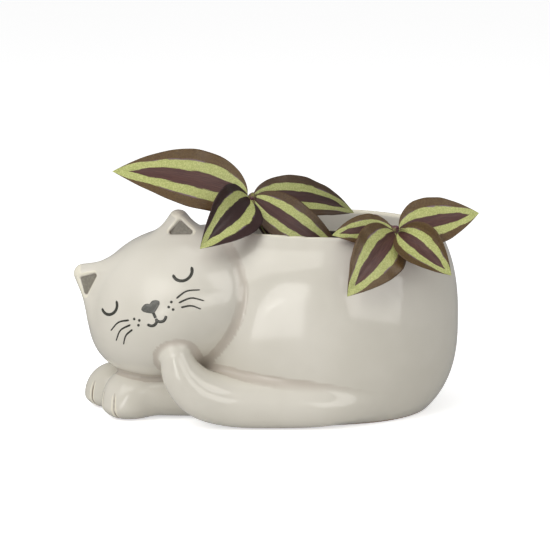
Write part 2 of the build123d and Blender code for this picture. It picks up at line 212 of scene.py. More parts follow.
TAIL_PLACES = [
    (-78, -53, 37), (-74.5, -52, 27.5), (-66, -50, 18.5), (-52, -47, 13.8),
    (-31, -46.5, 12.2), (-4, -45.8, 12), (18, -39.5, 13), (38, -26, 16),
]
TAIL_RADII = [8, 10.3, 12.3, 12.9, 12.4, 11.4, 8.8, 5]
NEAR_PAW_MIDDLE = np.array([-105, -27, 7.5])
NEAR_PAW_REACH = (12.6, 13.0, 17.0, 8.0)
NEAR_LEG = ((-96, -26, 13.4), (-57, -24, 14))
NEAR_TOE_BEARINGS = (22, 64)
FAR_PAW_MIDDLE = np.array([-111.7, -4, 6.5])
FAR_PAW_REACH = (16.4, 12.5, 16.8, 7.5)
FAR_LEG = ((-102, -2, 12.4), (-62, 5, 14))
FAR_TOE_BEARINGS = (34, 78)
LEG_RADII = (12.4, 14.0)
TOE_LINE_WIDTH = 0.55
TOE_LINE_DEPTH = 0.5
TOE_LINE_TOP = 16.0
TOE_LINE_FADE = 5.0
TOE_LINE_START = 3.0
FOOT_ROUND = 0.9

# How softly each form runs into the next
EAR_BLEND = 6.0
SCOOP_BLEND = 1.4
SCOOP_EDGE = 1.2
HEAD_BLEND = 3.0
LEG_BLEND = 6.0
PAWS_BLEND = 1.5
PAW_BLEND = 3.0
TAIL_BLEND = 4.0
THROAT_BLEND = 4.0
BELLY_BLEND = 3.0
HEAD_OPENING_BLEND = 2.0


def head_axes():
    """The face's right, up and forward directions, as the columns of a matrix."""
    flat = math.cos(HEAD_PITCH)
    forward = np.array([-math.sin(HEAD_YAW) * flat, -math.cos(HEAD_YAW) * flat, math.sin(HEAD_PITCH)])
    right = unit(np.cross((0, 0, 1), forward))
    up = np.cross(forward, right)
    return right, up, forward


def rolled(roll):
    """The face's directions after the head is laid on its side by a roll."""
    right, up, forward = head_axes()
    return (
        right * math.cos(roll) + up * math.sin(roll),
        up * math.cos(roll) - right * math.sin(roll),
        forward,
    )


FACE_RIGHT, FACE_UP, FACE_FORWARD = rolled(HEAD_ROLL)
FACE = np.stack([FACE_RIGHT, FACE_UP, FACE_FORWARD], 1)


def ear_frame(side):
    """An ear's base and its across, tip and front directions."""
    right, up, forward = rolled(HEAD_ROLL + EAR_ROLL)
    out = up * math.cos(side * EAR_SPREAD) + right * math.sin(side * EAR_SPREAD)
    tip = up * math.cos(side * EAR_LEAN) + right * math.sin(side * EAR_LEAN)
    base = HEAD_MIDDLE + out * EAR_REACH + forward * EAR_FORWARD + EAR_SHIFT[side]
    return base, np.cross(tip, forward), tip, forward


def ear_field(points, side):
    """A thick rounded triangle."""
    base, across, tip, front = ear_frame(side)
    local = points - base
    flat = corner_field(local @ across, local @ tip, [(side * x, y) for x, y in EAR_CORNERS])
    thick = np.abs(local @ front) - EAR_CORE
    outside = np.sqrt(np.maximum(flat, 0) ** 2 + np.maximum(thick, 0) ** 2)
    return outside + np.minimum(np.maximum(flat, thick), 0) - EAR_ROUND


def skull_field(points):
    """The head's own form: a ball drawn out to the left cheek and flatter under the chin."""
    local = (points - SKULL_MIDDLE) @ FACE
    wide = np.where(local[:, 0] > 0, SKULL_RIGHT, SKULL_LEFT)
    tall = np.where(local[:, 1] > 0, SKULL_TOP, SKULL_CHIN)
    return stretched_ball(local, np.stack([wide, tall, np.full(len(local), SKULL_FRONT)], 1))


def scoop_field(points, side):
    """The hollow in an ear's front, where the inner ear is painted."""
    base, across, tip, front = ear_frame(side)
    local = points - base
    corners = [(side * x, y) for x, y in SCOOP_CORNERS]
    flat = corner_field(local @ across, local @ tip, corners) - SCOOP_ROUND
    return smooth_max(flat, SCOOP_FLOOR - local @ front, SCOOP_EDGE)


def paw_field(points, middle, reach, leg, bearings):
    """A foreleg with its low paw, and the toe lines pressed into the paw's front."""
    local = points - middle
    length, depth, up, down = reach
    tall = np.where(local[:, 2] > 0, up, down)
    flat = np.full((len(local), 2), (length, depth))
    paw = stretched_ball(local, np.column_stack([flat, tall]))
    for bearing_angle in bearings:
        turn = math.radians(bearing_angle)
        heading = np.array([-math.cos(turn), -math.sin(turn), 0])
        aside = np.array([-math.sin(turn), math.cos(turn), 0])
        line = np.exp(-((local @ aside) / TOE_LINE_WIDTH) ** 2)
        low = np.clip((TOE_LINE_TOP - points[:, 2]) / TOE_LINE_FADE, 0, 1)
        paw = paw + TOE_LINE_DEPTH * line * np.clip(local @ heading / TOE_LINE_START, 0, 1) * low
    return smooth_min(paw, strand_field(points, np.array(leg, float), LEG_RADII), LEG_BLEND)


TAIL_STEPS = 30
TAIL_ROUTE = smooth_route(np.column_stack([TAIL_PLACES, TAIL_RADII]), TAIL_STEPS)


def eased(share):
    """A smooth step from 0 to 1."""
    share = np.clip(share, 0, 1)
    return share * share * (3 - 2 * share)


def curled(points):
    """Points as an even oval bowl sees them: the real one swells towards the head at its front left."""
    behind, ahead = SHOULDER_DEPTH
    front = eased((behind - points[:, 1]) / (behind + ahead))
    left = eased(-points[:, 0] / SHOULDER_START)
    even = points.copy()
    even[:, 0] /= 1 + (SHOULDER_STRETCH - 1) * front * left
    return even


def hollow_field(points):
    """The space inside: the bowl, its mouth, and the head, which opens into the bowl."""
    even = curled(points)
    bowl = bulge_field(
        even, TRUNK_MIDDLE, TRUNK_HALF_LENGTH - WALL, TRUNK_HALF_DEPTH - WALL,
        TRUNK_REACH_UP - WALL, TRUNK_REACH_DOWN - WALL, TRUNK_POWER,
    )
    plan = np.hypot(even[:, 0] / MOUTH_HALF_LENGTH, even[:, 1] / MOUTH_HALF_DEPTH)
    mouth = (plan - 1) * (MOUTH_HALF_LENGTH + MOUTH_HALF_DEPTH) / 2
    height = points[:, 2]
    belly = smooth_max(bowl, height - THROAT, THROAT_BLEND)
    throat = smooth_max(mouth, THROAT_FOOT - height, THROAT_BLEND)
    upper = smooth_min(belly, throat, BELLY_BLEND)
    bowl = np.where(height > THROAT_FOOT, np.where(height > THROAT, mouth, upper), bowl)
    bowl = smooth_max(bowl, FLOOR - height, BELLY_BLEND)
    return smooth_min(bowl, skull_field(points) + WALL, HEAD_OPENING_BLEND)


def outside_field(points):
    """The cat's outer form, before it is hollowed."""
    trunk = bulge_field(
        curled(points), TRUNK_MIDDLE, TRUNK_HALF_LENGTH, TRUNK_HALF_DEPTH,
        TRUNK_REACH_UP, TRUNK_REACH_DOWN, TRUNK_POWER,
    )
    trunk = smooth_max(trunk, points[:, 2] + RIM_SLOPE * points[:, 0] - RIM_HEIGHT, LIP_ROUND)
    head = skull_field(points)
    for side in (-1, 1):
        head = smooth_min(head, ear_field(points, side), EAR_BLEND)
    for side in (-1, 1):
        head = smooth_max(head, -scoop_field(points, side), SCOOP_BLEND)
    near_paw = paw_field(points, NEAR_PAW_MIDDLE, NEAR_PAW_REACH, NEAR_LEG, NEAR_TOE_BEARINGS)
    far_paw = paw_field(points, FAR_PAW_MIDDLE, FAR_PAW_REACH, FAR_LEG, FAR_TOE_BEARINGS)
    paws = smooth_min(near_paw, far_paw, PAWS_BLEND)
    form = smooth_min(trunk, head, HEAD_BLEND)
    form = smooth_min(form, paws, PAW_BLEND)
    form = smooth_min(form, strand_field(points, TAIL_ROUTE[:, :3], TAIL_ROUTE[:, 3]), TAIL_BLEND)
    return smooth_max(form, -points[:, 2], FOOT_ROUND)


def cat_field(points):
    """The whole planter."""
    return smooth_max(outside_field(points), -hollow_field(points), LIP_ROUND)


def slope_of(field, points, step=0.05):
    """The direction in which a field grows, by small steps each way."""
    rows = np.empty_like(points)
    for axis in range(3):
        shift = np.zeros(3)
        shift[axis] = step
        rows[:, axis] = field(points + shift) - field(points - shift)
    return rows / (2 * step)


LEAST_SLOPE = 0.25
LONGEST_MOVE = 1.0


def settle(field, points, rounds):
    """Move points onto a field's skin."""
    for _ in range(rounds):
        slope = slope_of(field, points)
        size = np.maximum((slope * slope).sum(1), LEAST_SLOPE)
        move = (field(points) / size)[:, None] * slope
        points = points - np.clip(move, -LONGEST_MOVE, LONGEST_MOVE)
    return points


# Mesh of a field: one point in each cell that the skin crosses, and a face round each crossed edge


def net_of(field, low, high, step):
    """Points and four-sided faces of a field's skin, with the faces outwards."""
    counts = np.ceil((high - low) / step).astype(int) + 1
    axes = [low[axis] + step * np.arange(counts[axis]) for axis in range(3)]
    layers = []
    for height in axes[2]:
        x, y = np.meshgrid(axes[0], axes[1], indexing="ij")
        flat = np.stack([x.ravel(), y.ravel(), np.full(x.size, height)], 1)
        layers.append(field(flat).reshape(x.shape))
    values = np.stack(layers, 2)
    cells = tuple(counts - 1)
    total = np.zeros(cells + (3,))
    hits = np.zeros(cells, int)
    rings = []
    for axis in range(3):
        first = np.moveaxis(np.moveaxis(values, axis, 0)[:-1], 0, axis)
        last = np.moveaxis(np.moveaxis(values, axis, 0)[1:], 0, axis)
        crossed = (first < 0) != (last < 0)
        places = np.argwhere(crossed)
        share = first[crossed] / (first[crossed] - last[crossed])
        crossing = places.astype(float)
        crossing[:, axis] += share
        left, right = (axis + 1) % 3, (axis + 2) % 3
        ring = []
        for shift_left, shift_right in ((1, 1), (0, 1), (0, 0), (1, 0)):
            cell = places.copy()
            cell[:, left] -= shift_left
            cell[:, right] -= shift_right
            np.add.at(total, tuple(cell.T), crossing)
            np.add.at(hits, tuple(cell.T), 1)
            ring.append(cell)
        ring = np.stack(ring, 1)
        outwards = first[crossed] < 0
        ring[~outwards] = ring[~outwards][:, ::-1]
        rings.append(ring)
    number = np.full(cells, -1)
    used = hits > 0
    number[used] = np.arange(used.sum())
    points = low + step * total[used] / hits[used][:, None]
    faces = np.concatenate([number[tuple(np.moveaxis(ring, -1, 0))] for ring in rings])
    return points, faces


def evened(field, points, faces, rounds=3):
    """Spread the points evenly: each moves towards the middle of its neighbours and back onto the skin."""
    starts = faces.ravel()
    ends = np.roll(faces, -1, axis=1).ravel()
    for _ in range(rounds):
        total = np.zeros_like(points)
        hits = np.zeros(len(points))
        np.add.at(total, starts, points[ends])
        np.add.at(total, ends, points[starts])
        np.add.at(hits, starts, 1)
        np.add.at(hits, ends, 1)
        points = settle(field, 0.5 * points + 0.5 * total / hits[:, None], 1)
    return settle(field, points, 3)


def new_object(name, mesh):
    """An object for a mesh, at the origin."""
    thing = bpy.data.objects.new(name, mesh)
    bpy.context.scene.collection.objects.link(thing)
    return thing


def mesh_object(name, points, faces):
    """A smooth-shaded object from points in millimetres and faces."""
    mesh = bpy.data.meshes.new(name)
    mesh.from_pydata((np.asarray(points, float) * MM).tolist(), [], [list(map(int, face)) for face in faces])
    mesh.shade_smooth()
    return new_object(name, mesh)


@contextmanager
def edited(mesh):
    """A mesh opened for editing, and written back at the end."""
    work = bmesh.new()
    work.from_mesh(mesh)
    yield work
    work.to_mesh(mesh)
    work.free()


def grid_faces(rows, columns):
    """Four-sided faces between the points of a grid."""
    corners = [row * columns + column for row in range(rows - 1) for column in range(columns - 1)]
    return [(a, a + 1, a + columns + 1, a + columns) for a in corners]


def sheet_faces(rows, columns):
    """Faces of a closed sheet: a grid for its top, another for its underside, and a strip round the rim."""
    count = rows * columns
    top = grid_faces(rows, columns)
    below = [tuple(corner + count for corner in face[::-1]) for face in top]
    grid = np.arange(count).reshape(rows, columns)
    rim = [*grid[:, 0], *grid[-1, 1:], *grid[-2::-1, -1], *grid[0, -2:0:-1]]
    strip = [(a, b, b + count, a + count) for a, b in zip(rim, rim[1:] + rim[:1])]
    return top + below + strip


def give(piece, material, body, slot, *nodes):
    """Finish a piece: its material, its body and the CAD nodes that it stands for; the slot is not used."""
    piece.data.materials.clear()
    piece.data.materials.append(material)
    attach(piece, body)
    if nodes:
        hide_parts(*nodes)


def float_attribute(mesh, name, values):
    """A number for each point, which a material can read."""
    layer = mesh.attributes.new(name, "FLOAT", "POINT")
    layer.data.foreach_set("value", np.asarray(values, np.float32))


# Materials


def new_material(name):
    """A material, its node tree and its Principled shader."""
    material = bpy.data.materials.new(name)
    material.use_nodes = True
    tree = material.node_tree
    return material, tree, tree.nodes["Principled BSDF"]


def node(tree, kind, links=None, **settings):
    """A node with its settings, and links or values for its inputs."""
    made = tree.nodes.new(kind)
    for key, value in settings.items():
        setattr(made, key, value)
    for key, value in (links or {}).items():
        if isinstance(value, bpy.types.NodeSocket):
            tree.links.new(value, made.inputs[key])
        else:
            made.inputs[key].default_value = value
    return made


def math_node(tree, operation, first, second=0.0):
    """One sum."""
    return node(tree, "ShaderNodeMath", {0: first, 1: second}, operation=operation).outputs[0]


def plus(tree, first, second):
    """Two values added."""
    return math_node(tree, "ADD", first, second)


def minus(tree, first, second):
    """The second value taken from the first."""
    return math_node(tree, "SUBTRACT", first, second)


def times(tree, first, second):
    """Two values multiplied."""
    return math_node(tree, "MULTIPLY", first, second)


def object_place(tree):
    """Places on the piece, in metres."""
    return node(tree, "ShaderNodeTexCoord").outputs["Object"]


def mark(tree, name):
    """A number that the mesh holds for each point."""
    return node(tree, "ShaderNodeAttribute", attribute_name=name).outputs["Fac"]


def combined(tree, x, y, z):
    """A place from its three values."""
    return node(tree, "ShaderNodeCombineXYZ", {0: x, 1: y, 2: z}).outputs[0]


def ramp(tree, value, low, high):
    """A smooth step from 0 at low to 1 at high."""
    made = node(tree, "ShaderNodeMapRange", {0: value, 1: low, 2: high}, interpolation_type="SMOOTHSTEP")
    return made.outputs[0]


def mixed(tree, share, first, second):
    """A colour between two."""
    made = node(tree, "ShaderNodeMix", data_type="RGBA")
    for socket, value in ((made.inputs[0], share), (made.inputs[6], first), (made.inputs[7], second)):
        if isinstance(value, bpy.types.NodeSocket):
            tree.links.new(value, socket)
        else:
            socket.default_value = value
    return made.outputs[2]


def noise(tree, vector, scale, detail=2.0, roughness=0.5):
    """Cloudy noise from 0 to 1."""
    settings = {"Vector": vector, "Scale": scale, "Detail": detail, "Roughness": roughness}
    return node(tree, "ShaderNodeTexNoise", settings).outputs[0]


def bump(tree, height, strength, distance):
    """A bumped normal."""
    made = node(tree, "ShaderNodeBump", {"Height": height, "Strength": strength, "Distance": distance})
    return made.outputs[0]


def rgb(red, green, blue):
    """A colour given as it shows on a screen, from 0 to 255."""
    rows = []
    for value in (red, green, blue):
        value = value / 255
        rows.append(value / 12.92 if value <= 0.04045 else ((value + 0.055) / 1.055) ** 2.4)
    return (*rows, 1.0)


def mottle_group():
    """Node group: a colour that drifts between a dark and a light one with cloudy noise, and its height."""
    group = bpy.data.node_groups.new("mottle", "ShaderNodeTree")
    inputs = {"Vector": "Vector", "Scale": "Float", "Detail": "Float", "Roughness": "Float"}
    inputs.update({"Low": "Float", "High": "Float", "Dark": "Color", "Light": "Color"})
    for name, kind in inputs.items():
        group.interface.new_socket(name, in_out="INPUT", socket_type=f"NodeSocket{kind}")
    for name, kind in {"Color": "Color", "Height": "Float"}.items():
        group.interface.new_socket(name, in_out="OUTPUT", socket_type=f"NodeSocket{kind}")
    given = group.nodes.new("NodeGroupInput").outputs
    result = group.nodes.new("NodeGroupOutput").inputs
    height = noise(group, given["Vector"], given["Scale"], given["Detail"], given["Roughness"])
    share = ramp(group, height, given["Low"], given["High"])
    group.links.new(mixed(group, share, given["Dark"], given["Light"]), result["Color"])
    group.links.new(height, result["Height"])
    return group


MOTTLE = mottle_group()


def mottled(tree, scale, detail, roughness, low, high, dark, light):
    """The mottle group's colour and height in a material."""
    values = {"Vector": object_place(tree), "Scale": scale, "Detail": detail, "Roughness": roughness}
    values.update({"Low": low, "High": high, "Dark": dark, "Light": light})
    return node(tree, "ShaderNodeGroup", values, node_tree=MOTTLE).outputs


# The face's front is a little less shiny than the rest
FACE_FRONT = HEAD_MIDDLE + 36 * FACE_FORWARD
SATIN_REACH = 44 * MM
SATIN_FULL = 12 * MM


def glaze_material():
    """Warm grey glaze, thinner and creamier over sharp edges, with painted shade in creases that turns
    darkest brown in the toe grooves, bare at the foot.
    """
    material, tree, shader = new_material("warm_grey_glaze")
    place = object_place(tree)
    edge = mark(tree, "edge")
    body = mottled(tree, 22.0, 3.0, 0.5, 0.35, 0.7, rgb(219, 214, 202), rgb(211, 206, 193))["Color"]
    # Painted shade: the glaze colour darkens in creases, and to a dark brown in the deepest grooves, the toe
    # lines.
    crease_shaded = mixed(tree, ramp(tree, edge, -0.02, -0.16), body, rgb(196, 187, 174))
    crease_shaded = mixed(tree, ramp(tree, edge, -0.55, -1.0), crease_shaded, rgb(124, 111, 94))
    thin = mixed(tree, ramp(tree, edge, 0.24, 0.42), crease_shaded, rgb(232, 226, 208))
    height = node(tree, "ShaderNodeSeparateXYZ", {0: place}).outputs["Z"]
    ragged = plus(tree, height, times(tree, noise(tree, place, 260.0), 0.0005))
    glazed = ramp(tree, ragged, 0.0010, 0.0014)
    shown = mixed(tree, glazed, rgb(150, 112, 78), thin)
    tree.links.new(shown, shader.inputs["Base Color"])
    peel = noise(tree, place, 190.0, 1.0)
    rough = plus(tree, 0.07, times(tree, peel, 0.05))
    bare = times(tree, minus(tree, 1.0, glazed), 0.55)
    ends = {0: place, 1: tuple(FACE_FRONT * MM)}
    from_face = node(tree, "ShaderNodeVectorMath", ends, operation="DISTANCE").outputs["Value"]
    satin = times(tree, ramp(tree, from_face, SATIN_REACH, SATIN_FULL), 0.13)
    rough = plus(tree, rough, satin)
    tree.links.new(plus(tree, rough, bare), shader.inputs["Roughness"])
    tree.links.new(bump(tree, peel, 0.12, 0.0002), shader.inputs["Normal"])
    shader.inputs["IOR"].default_value = 1.52
    return material


def paint_material(name, dark, light, rough):
    """Fired decoration: a dense colour with faint brush density, as glossy as the glaze."""
    material, tree, shader = new_material(name)
    shown, grain = mottled(tree, 900.0, 3.0, 0.6, 0.38, 0.72, dark, light)
    tree.links.new(shown, shader.inputs["Base Color"])
    tree.links.new(plus(tree, rough, times(tree, grain, 0.08)), shader.inputs["Roughness"])
    return material


def leaf_bands(tree, across, along, shade):
    """How far inside the green stripe a place is, from the middle band and from the edge band."""
    half = math_node(tree, "ABSOLUTE", across)
    streaks = combined(tree, times(tree, across, 34.0), times(tree, along, 7.0), shade)
    wander = noise(tree, streaks, 1.0, 4.0, 0.7)
    slow = combined(tree, times(tree, across, 2.0), times(tree, along, 6.0), shade)
    drift = noise(tree, slow, 1.0, 2.0)
    ragged = times(tree, minus(tree, wander, 0.5), 0.13)
    sway = times(tree, minus(tree, drift, 0.5), 0.16)
    band = plus(tree, half, plus(tree, ragged, sway))
    tip = ramp(tree, along, 0.72, 1.0)
    from_middle = minus(tree, band, minus(tree, 0.26, times(tree, tip, 0.42)))
    from_edge = minus(tree, plus(tree, 0.62, times(tree, tip, 0.3)), band)
    return half, wander, drift, from_middle, from_edge


def leaf_material():
    """Zebra leaf: brown-purple edge and middle, two speckled green stripes that meet at the tip."""
    material, tree, shader = new_material("striped_leaf")
    across = mark(tree, "across")
    along = mark(tree, "along")
    half, wander, drift, from_middle, from_edge = leaf_bands(tree, across, along, mark(tree, "shade"))
    stripe = times(tree, ramp(tree, from_middle, -0.012, 0.02), ramp(tree, from_edge, -0.012, 0.02))
    speckle = noise(tree, object_place(tree), 1500.0, 2.0, 0.6)
    green = mixed(tree, ramp(tree, speckle, 0.35, 0.68), rgb(166, 172, 98), rgb(196, 199, 130))
    dark_edge = mixed(tree, ramp(tree, speckle, 0.3, 0.7), rgb(82, 60, 36), rgb(100, 78, 44))
    dark_middle = mixed(tree, ramp(tree, wander, 0.3, 0.7), rgb(66, 38, 38), rgb(94, 62, 52))
    dark = mixed(tree, ramp(tree, half, 0.3, 0.55), dark_middle, dark_edge)
    dark = mixed(tree, mark(tree, "deep"), dark, rgb(48, 24, 22))
    border = times(tree, ramp(tree, from_edge, -0.07, 0.0), ramp(tree, half, 0.45, 0.55))
    fringe = times(tree, border, ramp(tree, drift, 0.48, 0.62))
    dark = mixed(tree, times(tree, fringe, 0.55), dark, rgb(150, 124, 150))
    top = mixed(tree, stripe, dark, green)
    below = mixed(tree, ramp(tree, wander, 0.3, 0.7), rgb(96, 42, 70), rgb(124, 62, 88))
    tree.links.new(mixed(tree, mark(tree, "under"), top, below), shader.inputs["Base Color"])
    veins = noise(tree, combined(tree, times(tree, across, 60.0), times(tree, along, 2.5), 0.0), 1.0, 2.0)
    relief = plus(tree, veins, times(tree, speckle, 0.6))
    tree.links.new(bump(tree, relief, 0.35, 0.0002), shader.inputs["Normal"])
    shader.inputs["Roughness"].default_value = 0.42
    return material


def stem_material():
    """Fleshy stem, green with purple streaks."""
    material, tree, shader = new_material("purple_stem")
    shown, streak = mottled(tree, 420.0, 3.0, 0.6, 0.4, 0.62, rgb(96, 40, 72), rgb(124, 118, 66))
    tree.links.new(shown, shader.inputs["Base Color"])
    tree.links.new(bump(tree, streak, 0.3, 0.0002), shader.inputs["Normal"])
    shader.inputs["Roughness"].default_value = 0.38
    return material


def soil_material():
    """Dark peat with lighter fibres."""
    material, tree, shader = new_material("peat_soil")
    shown, crumb = mottled(tree, 620.0, 5.0, 0.7, 0.35, 0.75, rgb(38, 27, 20), rgb(92, 68, 48))
    tree.links.new(shown, shader.inputs["Base Color"])
    tree.links.new(bump(tree, crumb, 0.9, 0.0012), shader.inputs["Normal"])
    shader.inputs["Roughness"].default_value = 0.95
    return material


def pot_material():
    """Thin moulded nursery-pot plastic, dusty black-brown, with a fine grain."""
    material, tree, shader = new_material("nursery_pot_plastic")
    shown, dust = mottled(tree, 60.0, 4.0, 0.65, 0.45, 0.8, rgb(58, 50, 46), rgb(92, 82, 74))
    tree.links.new(shown, shader.inputs["Base Color"])
    grain = noise(tree, object_place(tree), 1600.0, 1.0)
    tree.links.new(bump(tree, grain, 0.25, 0.0002), shader.inputs["Normal"])
    tree.links.new(plus(tree, 0.42, times(tree, dust, 0.25)), shader.inputs["Roughness"])
    return material


glaze = glaze_material()
line_paint = paint_material("dark_line_paint", rgb(58, 58, 52), rgb(74, 73, 66), 0.16)
nose_paint = paint_material("grey_nose_paint", rgb(92, 92, 87), rgb(108, 107, 101), 0.16)
ear_paint = paint_material("inner_ear_paint", rgb(124, 119, 107), rgb(138, 133, 121), 0.2)
zebra_leaf = leaf_material()
fleshy_stem = stem_material()
peat = soil_material()
pot_plastic = pot_material()


# The planter

CAT_LOW = np.array([-136, -68, -4.0])
CAT_HIGH = np.array([72, 62, 114.0])
CELL = 1.6
PAW_BOX = ((-130, -42, -1), (-96, 12, 24))
TOE_BOX = ((-130, -42, -1), (-105, 12, 17))
EAR_TIP = 7
EAR_FINE_REACH = 13 * MM
NORMAL_STEP = 0.3


def in_box(low, high):
    """A test for a point within two corners, in millimetres."""
    low, high = Vector(low) * MM, Vector(high) * MM
    return lambda place: all(low[axis] < place[axis] < high[axis] for axis in range(3))


def near_ear(side):
    """A test for a point on an ear's tip."""
    base, _, tip, _ = ear_frame(side)
    middle = Vector(base + tip * EAR_TIP) * MM
    return lambda place: (place - middle).length < EAR_FINE_REACH


def refined(mesh, tests):
    """Halve the mesh's edges where one of the tests holds."""
    with edited(mesh) as work:
        chosen = []
        for edge in work.edges:
            if any(all(test(corner.co) for corner in edge.verts) for test in tests):
                chosen.append(edge)
        bmesh.ops.subdivide_edges(work, edges=chosen, cuts=1, use_grid_fill=True)
        bmesh.ops.triangulate(work, faces=[face for face in work.faces if len(face.verts) > 4])


def mesh_points(mesh):
    """A mesh's points, in millimetres."""
    rows = np.zeros(len(mesh.vertices) * 3)
    mesh.vertices.foreach_get("co", rows)
    return rows.reshape(-1, 3) / MM


def edge_sharpness(points):
    """How sharply the form turns at each point: above 0 on edges, below 0 in creases."""
    bend = -6 * cat_field(points)
    for shift in np.eye(3):
        bend += cat_field(points + shift) + cat_field(points - shift)
    return bend


def cat_planter():
    """Bowl, head, ears, paws and tail in one skin, with finer faces where the form is small."""
    points, faces = net_of(cat_field, CAT_LOW, CAT_HIGH, CELL)
    points = evened(cat_field, points, faces)
    piece = mesh_object("cat_planter_glazed", points, faces)
    mesh = piece.data
    ears = [near_ear(-1), near_ear(1)]
    refined(mesh, ears + [in_box(*PAW_BOX)])
    refined(mesh, ears + [in_box(*TOE_BOX)])
    points = settle(cat_field, mesh_points(mesh), 4)
    mesh.vertices.foreach_set("co", (points * MM).ravel())
    float_attribute(mesh, "edge", edge_sharpness(points))
    mesh.update()
    normals = unit(slope_of(cat_field, points, NORMAL_STEP))
    mesh.normals_split_custom_set_from_vertices(normals.tolist())
    give(piece, glaze, "planter", "glazed_body", "cat_planter")


cat_planter()


# Painted marks: thin domed strokes that lie on the glaze

PAINT_EDGE = 0.03
PAINT_RISE = 0.14
PAINT_SINK = 0.25
SKIN_ROUNDS = 60
SKIN_STEP = 2
SKIN_SHARE = 0.8


def on_skin(flat, origin, across, up, front, start):
    """Points on the glaze in front of places given in a plane, and the glaze's directions there."""
    flat = np.asarray(flat, float)
    points = origin + flat[:, :1] * across + flat[:, 1:2] * up + front * start
    for _ in range(SKIN_ROUNDS):
        gap = np.clip(outside_field(points), -SKIN_STEP, SKIN_STEP)
        points = points - front * gap[:, None] * SKIN_SHARE
    return points, unit(slope_of(outside_field, points))


FACE_START = 46.0
FACE_WIDTH_SHARE = 1.04
FACE_SHIFT = 0.6


def ribbon(sections):
    """A closed strip: rows of places from one side of a stroke to the other, raised in the middle."""
    rows, columns = len(sections), len(sections[0])
    skin, normals = face_place(np.concatenate([np.asarray(section, float) for section in sections]))
    arch = np.tile(np.sqrt(np.clip(1 - np.linspace(-1, 1, columns) ** 2, 0, 1)), rows)
    ends = np.repeat(np.sqrt(np.clip(1 - np.linspace(-1, 1, rows) ** 8, 0, 1)), columns)
    top = skin + normals * (PAINT_EDGE + PAINT_RISE * arch * ends)[:, None]
    below = skin - normals * PAINT_SINK
    return np.concatenate([top, below]), sheet_faces(rows, columns)


def joined(name, strips):
    """One object from several strips."""
    points, faces = [], []
    for strip_points, strip_faces in strips:
        shift = sum(len(rows) for rows in points)
        points.append(strip_points)
        faces += [tuple(corner + shift for corner in face) for face in strip_faces]
    piece = mesh_object(name, np.concatenate(points), faces)
    with edited(piece.data) as work:
        bmesh.ops.recalc_face_normals(work, faces=work.faces)
    return piece


def face_place(flat):
    """The glaze in front of places on the face."""
    wide = np.asarray(flat, float) * (FACE_WIDTH_SHARE, 1) - (FACE_SHIFT, 0)
    return on_skin(wide, HEAD_MIDDLE, FACE_RIGHT, FACE_UP, FACE_FORWARD, FACE_START)


def stroke(centre, widths, columns=7):
    """A brush stroke along a line, with its width at each step."""
    centre = np.asarray(centre, float)
    heading = unit(np.gradient(centre, axis=0))
    side = np.stack([-heading[:, 1], heading[:, 0]], 1)
    shares = np.linspace(-0.5, 0.5, columns)
    sections = [row + np.outer(shares * width, turn) for row, width, turn in zip(centre, widths, side)]
    return ribbon(sections)


def round_ends(count, width, taper=0.12):
    """Widths of a stroke with round ends."""
    share = np.linspace(0, 1, count)
    near_end = np.clip(np.minimum(share, 1 - share) / taper, 0, 1)
    return width * np.sqrt(np.clip(1 - (1 - near_end) ** 2, 0.02, 1))


def arc(middle, radius, start, sweep, count=28):
    """Places round an arc, in degrees."""
    turn = np.radians(np.linspace(start, start + sweep, count))
    return np.stack([middle[0] + radius * np.cos(turn), middle[1] + radius * np.sin(turn)], 1)


EYE_PLACE = (19.9, 8.6)
EYE_RADIUS = 4.5
EYE_LINE = 1.5
WHISKERS = (
    ((12.7, -2.5), (18.4, -1.2), (24.4, -3.2)),
    ((12.9, -4.9), (19.1, -5.2), (24.0, -8.9)),
    ((13.0, -7.4), (17.7, -8.7), (21.1, -12.1)),
)
WHISKER_LINE = 0.86
CHEEK_DOTS = ((10.0, -3.1), (7.9, -4.8), (9.3, -6.8))
DOT_RADIUS = 0.68
NOSE_HALF_WIDTH = 4.9
NOSE_TOP = 1.3
NOSE_BOTTOM = -4.6
NOSE_LOBE = 0.45
MOUTH_ARC = (2.4, -7.4)
MOUTH_RADIUS = 2.6
MOUTH_LINE = 1.4


def bowed(places):
    """A smooth line through three places."""
    return smooth_route(places, 12)


def paint_eye(side, word):
    """A closed eye: an arc that hangs like a smile."""
    line = arc((side * EYE_PLACE[0], EYE_PLACE[1]), EYE_RADIUS, 172, 196)
    widths = round_ends(len(line), EYE_LINE, 0.1)
    piece = joined(f"{word}_closed_eye", [stroke(line, widths)])
    give(piece, line_paint, "planter", "face_paint", f"{word}_eye_line")


def paint_whiskers(side, word):
    """Three whiskers, which thin towards their tips."""
    strips = []
    for places in WHISKERS:
        line = bowed([(side * x, y) for x, y in places])
        thinning = np.linspace(1.15, 0.75, len(line))
        strips.append(stroke(line, round_ends(len(line), WHISKER_LINE, 0.06) * thinning, columns=5))
    piece = joined(f"{word}_whisker_strokes", strips)
    give(piece, line_paint, "planter", "face_paint", f"{word}_whiskers")


def paint_dots(side, word):
    """Three dots on a cheek."""
    strips = []
    for x, y in CHEEK_DOTS:
        share = np.linspace(-1, 1, 9)
        line = np.stack([side * x + DOT_RADIUS * share, np.full(9, y)], 1)
        strips.append(stroke(line, 2 * DOT_RADIUS * np.sqrt(np.clip(1 - share**2, 0.02, 1))))
    piece = joined(f"{word}_cheek_dot_paint", strips)
    give(piece, line_paint, "planter", "face_paint", f"{word}_cheek_dots")


def nose_top(size):
    """The nose's upper edge at a share of its half width: a dip in the middle, then a round lobe."""
    if size < NOSE_LOBE:
        return NOSE_TOP - 0.9 * (1 - size * 2.2) ** 2
    out = (size - NOSE_LOBE) / (1 - NOSE_LOBE)
    return NOSE_TOP * math.sqrt(max(1 - out**2, 0)) - 0.55 * out


